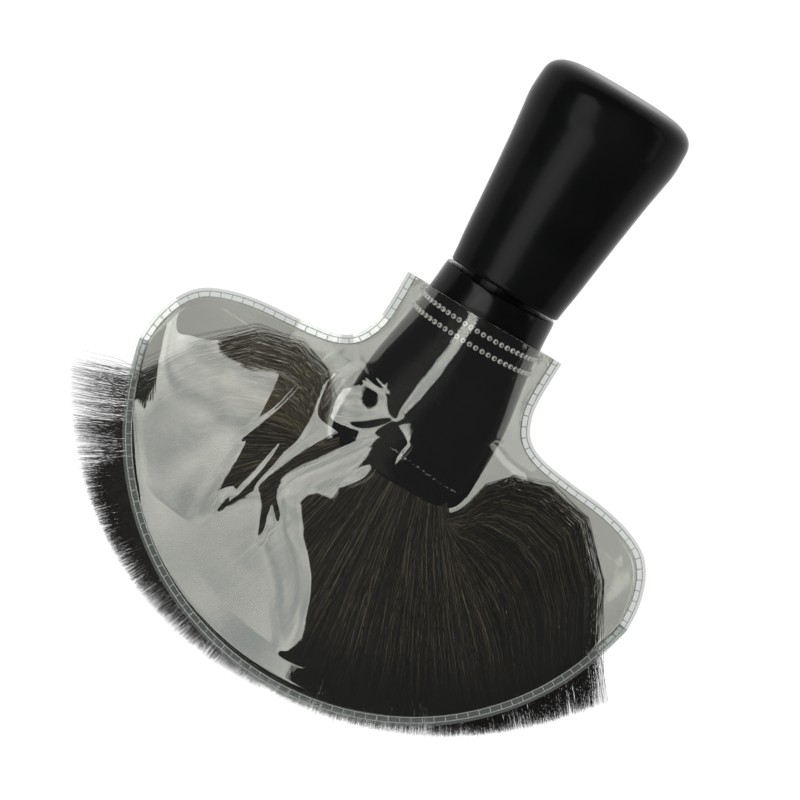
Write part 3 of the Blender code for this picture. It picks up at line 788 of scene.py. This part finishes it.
def fold_lift(x, s, crest, height, width_left, width_right):
    """How far one fold lifts the film: it rises and fades along its crest, and to both sides."""
    walk = np.linspace(0, 1, 6 * len(crest))
    line = smooth_curve(crest, walk * (len(crest) - 1))
    nearest = np.full(x.shape, 1e9)
    lift = np.zeros_like(x)
    for a, b, start, end in zip(line[:-1], line[1:], walk[:-1], walk[1:]):
        along = b - a
        t = np.clip(((x - a[0]) * along[0] + (s - a[1]) * along[1]) / (along @ along), 0, 1)
        off_x, off_s = x - a[0] - t * along[0], s - a[1] - t * along[1]
        distance = np.hypot(off_x, off_s)
        share = start + (end - start) * t
        swell = np.clip(4 * share * (1 - share), 0, 1) ** 1.2
        width = np.where(along[0] * off_s - along[1] * off_x > 0, width_left, width_right)
        away = np.minimum(distance / (width * (0.4 + 0.6 * swell)), 1)
        closer = distance < nearest
        lift = np.where(closer, height * swell * (0.5 + 0.5 * np.cos(np.pi * away)), lift)
        nearest = np.minimum(nearest, distance)
    return lift


def weld_height(at, side):
    """Height of a weld above the table: raised near the hem, so that the film lies flatter there."""
    plain = np.interp(at, range(len(WELD_HEIGHT)), WELD_HEIGHT)
    return plain + np.clip((at - 5) / 4, 0, 1) * (RAISED_LEFT if side < 0 else RAISED_RIGHT)


def pulled_taut(z, below, sweeps=260, haste=1.93):
    """The film between its four fixed edges, drawn flat wherever nothing below holds it up."""
    z = z.copy()
    rows, columns = z.shape
    for _ in range(sweeps):
        for i in (1, 2):
            for j in (1, 2):
                def near(down, across):
                    return z[i + down:rows - 1 + down:2, j + across:columns - 1 + across:2]
                around = (near(-1, 0) + near(1, 0) + near(0, -1) + near(0, 1)) / 4
                here = near(0, 0)
                here[...] = np.maximum(here + haste * (around - here),
                                       below[i:rows - 1:2, j:columns - 1:2])
    for _ in range(14):
        around = (z[:-2, 1:-1] + z[2:, 1:-1] + z[1:-1, :-2] + z[1:-1, 2:]) / 4
        z[1:-1, 1:-1] = (z[1:-1, 1:-1] + around) / 2
    return z


def film_grid(sign, rows=270, columns=330):
    """Points of one film as (x, s, z), edge to edge, on rows that curve from neck to hem."""
    last = len(COVER_SIDE) - 1
    at = np.linspace(0, last, rows)
    edge = cover_side(at, WELD_WIDTH - 0.2)
    middle = np.interp(at, range(last + 1), FILM_MIDDLE)
    across = np.linspace(-1, 1, columns)
    across = 0.75 * across + 0.25 * across**3
    x = edge[:, :1] * across
    share = arc_share(across * 0.999)
    s = edge[:, 1:] + (middle[:, None] - edge[:, 1:]) * share
    blend = (across[None] + 1) / 2
    flat = weld_height(at, -1)[:, None] * (1 - blend) + weld_height(at, 1)[:, None] * blend
    flat = flat + sign * 0.22
    rim = np.clip((1 - np.abs(across)) * 7, 0, 1)[None]
    rim = rim * (2 - rim)
    if sign > 0:
        under = smooth_max(ferrule_side(x, s, 1) + FILM_CLEARANCE, hair_cover(x, s), 2.0)
        z = smooth_max(flat, under, 3.0) - 0.4
        z = flat * (1 - rim) + z * rim
        held_up = smooth_max(ferrule_side(x, s, 1), hair_top(x, s), 1.0) + FILM_CLEARANCE * rim
        z = pulled_taut(z, held_up)
        for fold in FOLDS:
            z = z + fold_lift(x, s, *fold) * rim
    else:
        # before the fan there is only the ferrule's underside to pass below
        fan = fan_bottom(x, s) - FAN_CLEARANCE + 20 * np.clip((FAN_CENTRE - s) / 8, 0, 1)
        under = np.minimum(ferrule_side(x, s, -1) - FILM_CLEARANCE, fan)
        z = -smooth_max(-flat, -under, 1.0)
        z = np.maximum(flat * (1 - rim) + z * rim, TABLE_CLEARANCE)
    return np.stack([x, s, z], -1)


def fan_place(points):
    """(angle, distance) in the fan, stored on the film so that its ripples run with the hair."""
    x, s = points[..., 0], points[..., 1]
    return np.stack([np.arctan2(x, s - 60.0), np.hypot(x, s - 60.0) / 60.0, 0 * x], -1)


def make_film(name, sign, look, node):
    grid = film_grid(sign)
    rows, columns, _ = grid.shape
    verts = on_table(grid[..., 0], grid[..., 1], grid[..., 2])
    obj = mesh_piece(name, verts, grid_faces(rows, columns), look, "cover", slot="cover_film",
                     replaces=(node,), tones={"fan_place": fan_place(grid).reshape(-1, 3)})
    solid = obj.modifiers.new("thickness", "SOLIDIFY")
    solid.thickness = FILM * MM * 0.8
    solid.offset = 0.0
    return obj, grid


def ladder(name, outer, inner, body_thickness, looks, node, rung_gap=2.9):
    """A pressed band between two edges of (x, s, z) points, with two raised lines and rungs."""
    outer, inner = np.asarray(outer), np.asarray(inner)
    up = np.array([0, 0, body_thickness / 2])
    band = np.stack([outer + up, inner + up, inner - up, outer - up], axis=1)
    rings = len(outer)
    caps = np.array([[0, 1, 2, 3]]), np.array([[3, 2, 1, 0]]) + 4 * (rings - 1)
    faces = [ring_faces(rings, 4, False), *caps]
    obj = mesh_piece(name, on_table(*np.moveaxis(band, -1, 0)), np.concatenate(faces), looks[0],
                     "cover", slot="cover_weld", replaces=(node,))
    obj.data.set_sharp_from_angle(angle=math.radians(50))
    verts, faces, count = [], [], 0

    def add_line(line, radius):
        nonlocal count
        for lift in (body_thickness / 2, -body_thickness / 2):
            path = on_table(line[:, 0], line[:, 1], line[:, 2] + lift)[None]
            v, f = tubes(path, np.full(path.shape[:2], radius * MM), sides=6)
            verts.append(v)
            faces.append(f + count)
            count += len(v)

    lines = [outer * (1 - share) + inner * share for share in (0.36, 0.95)]
    for line in lines:
        add_line(line, 0.15)
    walked = np.linalg.norm(np.diff(lines[0], axis=0), axis=-1).cumsum()
    walked = np.concatenate([[0], walked])
    for place in np.arange(rung_gap * 0.4, walked[-1], rung_gap):
        ends = [np.array([np.interp(place, walked, line[:, k]) for k in range(3)]) for line in lines]
        t = np.linspace(0, 1, 4)[:, None]
        add_line(ends[0] * (1 - t) + ends[1] * t, 0.14)
    ribs = mesh_piece(name + "_ribs", np.concatenate(verts), np.concatenate(faces), looks[1], "cover",
                      slot="cover_weld")
    return [obj, ribs]


def make_side_weld(side, looks):
    last = len(COVER_SIDE) - 1
    at = np.linspace(0, last, 90)
    z = weld_height(at, side)
    mirror = np.array([side, 1, 1])
    outer = np.column_stack([cover_side(at, 0.0), z]) * mirror
    inner = np.column_stack([cover_side(at, WELD_WIDTH), z]) * mirror
    # on past the last point, as far as the hem
    outer, inner = (np.vstack([edge, 1.5 * edge[-1] - 0.5 * edge[-2]]) for edge in (outer, inner))
    label = "left" if side < 0 else "right"
    return ladder(f"weld_ladder_{label}", outer, inner, 0.45, looks, f"cover_weld_{label}")


def make_hem(sign, grid, looks):
    line = grid[-1]
    centre = np.array([0, HEM_CENTRE])
    # a touch longer than the film, so that its ends meet the welds
    turn = np.arctan2(line[:, 0], line[:, 1] - HEM_CENTRE) * 1.008
    ray = np.stack([np.sin(turn), np.cos(turn)], -1)
    z = np.maximum(line[:, 2], 0.3)
    outer = np.column_stack([centre + ray * HEM_RADIUS, z])
    inner = np.column_stack([centre + ray * (HEM_RADIUS - WELD_WIDTH), z])
    label = "front" if sign > 0 else "back"
    return ladder(f"hem_ladder_{label}", outer, inner, 0.34, looks, f"cover_hem_{label}")


# Studio ----------------------------------------------------------------------------------------
def aim(obj, target):
    direction = Vector(target) - obj.location
    obj.rotation_euler = direction.to_track_quat("-Z", "Y").to_euler()


def area_light(name, place, target, width, height, power):
    data = bpy.data.lights.new(name, "AREA")
    data.shape = "RECTANGLE"
    data.size, data.size_y = width, height
    data.energy = power
    obj = bpy.data.objects.new(name, data)
    bpy.context.scene.collection.objects.link(obj)
    obj.location = place
    aim(obj, target)
    return obj


def panel(name, right, up, height, width, length, radiance):
    """A level softbox over the table, square to the view, with a cloudy unevenness in its light."""
    mesh = bpy.data.meshes.new(name)
    w, h = width / 2, length / 2
    mesh.from_pydata([(-w, -h, 0), (w, -h, 0), (w, h, 0), (-w, h, 0)], [], [(0, 3, 2, 1)])
    obj = bpy.data.objects.new(name, mesh)
    bpy.context.scene.collection.objects.link(obj)
    obj.location = view_place(right, up, height)
    obj.rotation_euler = (0, 0, VIEW_TURN)
    made, tree, shader = node_material(name)
    tree.nodes.remove(shader)
    glow = tree.nodes.new("ShaderNodeEmission")
    glow.inputs["Strength"].default_value = radiance
    uneven = add_noise(tree, 2.8, 1.0)
    colour = add_ramp(tree, uneven.outputs["Fac"],
                      [(0.35, (0.56, 0.59, 0.585)), (0.65, (1.0, 1.0, 0.96))])
    tree.links.new(colour.outputs["Color"], glow.inputs["Color"])
    out = next(n for n in tree.nodes if n.type == "OUTPUT_MATERIAL")
    tree.links.new(glow.outputs["Emission"], out.inputs["Surface"])
    mesh.materials.append(made)
    obj.visible_camera = False
    return obj


def make_camera():
    data = bpy.data.cameras.new("camera")
    data.sensor_width = 36.0
    data.lens = 36.0 * VIEW_DISTANCE / VIEW_WIDTH
    obj = bpy.data.objects.new("camera", data)
    bpy.context.scene.collection.objects.link(obj)
    back = Vector((0, math.sin(VIEW_LEAN), math.cos(VIEW_LEAN)))
    right = Vector(view_frame()[1])
    right = (right - right.dot(back) * back).normalized()
    up = back.cross(right)
    turn = Matrix((right, up, back)).transposed().to_4x4()
    place = Vector(on_table(*VIEW_MIDDLE, 10.0)) + back * VIEW_DISTANCE
    obj.matrix_world = Matrix.Translation(place) @ turn
    data.clip_start, data.clip_end = 0.01, 20.0
    bpy.context.scene.camera = obj


def make_studio():
    scene = bpy.context.scene
    scene.view_settings.view_transform = "Standard"
    world = bpy.data.worlds.new("studio")
    world.use_nodes = True
    world.node_tree.nodes["Background"].inputs["Color"].default_value = (0.9, 0.95, 1.0, 1.0)
    world.node_tree.nodes["Background"].inputs["Strength"].default_value = 0.06
    scene.world = world
    bpy.ops.mesh.primitive_plane_add(size=6.0, location=(0, 0, -0.0002))
    floor = bpy.context.active_object
    floor.name = "floor"
    made, tree, shader = node_material("floor_white")
    faint = add_noise(tree, 3.0, 2.0)
    colour = add_ramp(tree, faint.outputs["Fac"], [(0.3, 0.04), (0.7, 0.05)])
    tree.links.new(colour.outputs["Color"], shader.inputs["Base Color"])
    shader.inputs["Roughness"].default_value = 0.9
    shader.inputs["Specular IOR Level"].default_value = 0.0
    shader.inputs["Emission Color"].default_value = (1, 1, 1, 1)
    shader.inputs["Emission Strength"].default_value = 1.0
    floor.data.materials.append(made)
    target = view_place(0, 0, 0.0)
    panel("softbox_overhead", SOFTBOX_RIGHT, SOFTBOX_UP, SOFTBOX_HEIGHT, *SOFTBOX_SIZE, 6.5)
    fill = area_light("fill_above", view_place(0.4, 0.1, 1.1), target, 0.6, 0.6, 8.0)
    fill.visible_glossy = False
    area_light("strip_right", view_place(1.2, -0.2, 0.25), target, 1.2, 0.2, 1.6)


def main():
    make_camera()
    make_studio()
    make_handle()
    make_ferrule()
    silver, cup = stone_silver(), gloss_black("stone_cup_black", 0.3)
    for node, middle in STONE_ROWS.items():
        make_stone_band(node, middle, silver, cup)
    # the specks' near-white colour is painted glints
    make_glint_specks(plain_grainy("painted_speck_glints", (0.7, 0.72, 0.72), (0.95, 0.97, 0.97), 0.2, 900.0))
    hidden = {
        "handle_tenon": gloss_black("tenon_black", 0.3),
        "potting_plug": plain_grainy("potting_resin", (0.2, 0.13, 0.06), (0.36, 0.25, 0.13),
                                     0.3, 300.0),
        "binding_cord": plain_grainy("binding_cord", (0.02, 0.018, 0.016), (0.08, 0.07, 0.06),
                                     0.85, 900.0),
        "bristle_root": plain_grainy("bristle_root", (0.004, 0.003, 0.003), (0.03, 0.02, 0.015),
                                     0.6, 1500.0),
    }
    for node, look in hidden.items():
        frame["nodes"][node].data.materials.clear()
        frame["nodes"][node].data.materials.append(look)

    hair = hair_material()
    make_core(core_material())
    sectors = [
        ("strands_wing_left", -71.5, -47, 3600, ("bristles_left",)),
        ("strands_left", -47, -24, 3600, ()),
        ("strands_middle_left", -24, 0, 2900, ("bristles_middle",)),
        ("strands_middle_right", 0, 24, 2900, ()),
        ("strands_right", 24, 47, 2900, ()),
        ("strands_wing_right", 47, 65.5, 2300, ("bristles_right",)),
    ]
    for name, low, high, count, nodes in sectors:
        make_strands(name, math.radians(low), math.radians(high), count, hair, nodes)

    film = film_material("cover_film_clear", (0.775, 0.78, 0.76), 0.005)
    pressed = (
        film_material("cover_weld_pressed", (0.79, 0.8, 0.79), 0.05, (0.75, 0.78, 0.76), 0.08, 0.0),
        film_material("cover_weld_ribs", (0.72, 0.73, 0.72), 0.16, (0.85, 0.87, 0.86), 0.1, 0.0),
    )
    front, front_grid = make_film("film_front", 1, film, "cover_front_film")
    back, back_grid = make_film("film_back", -1, film, "cover_back_film")
    welds = make_side_weld(-1, pressed) + make_side_weld(1, pressed)
    hem_front, hem_back = make_hem(1, front_grid, pressed), make_hem(-1, back_grid, pressed)


main()
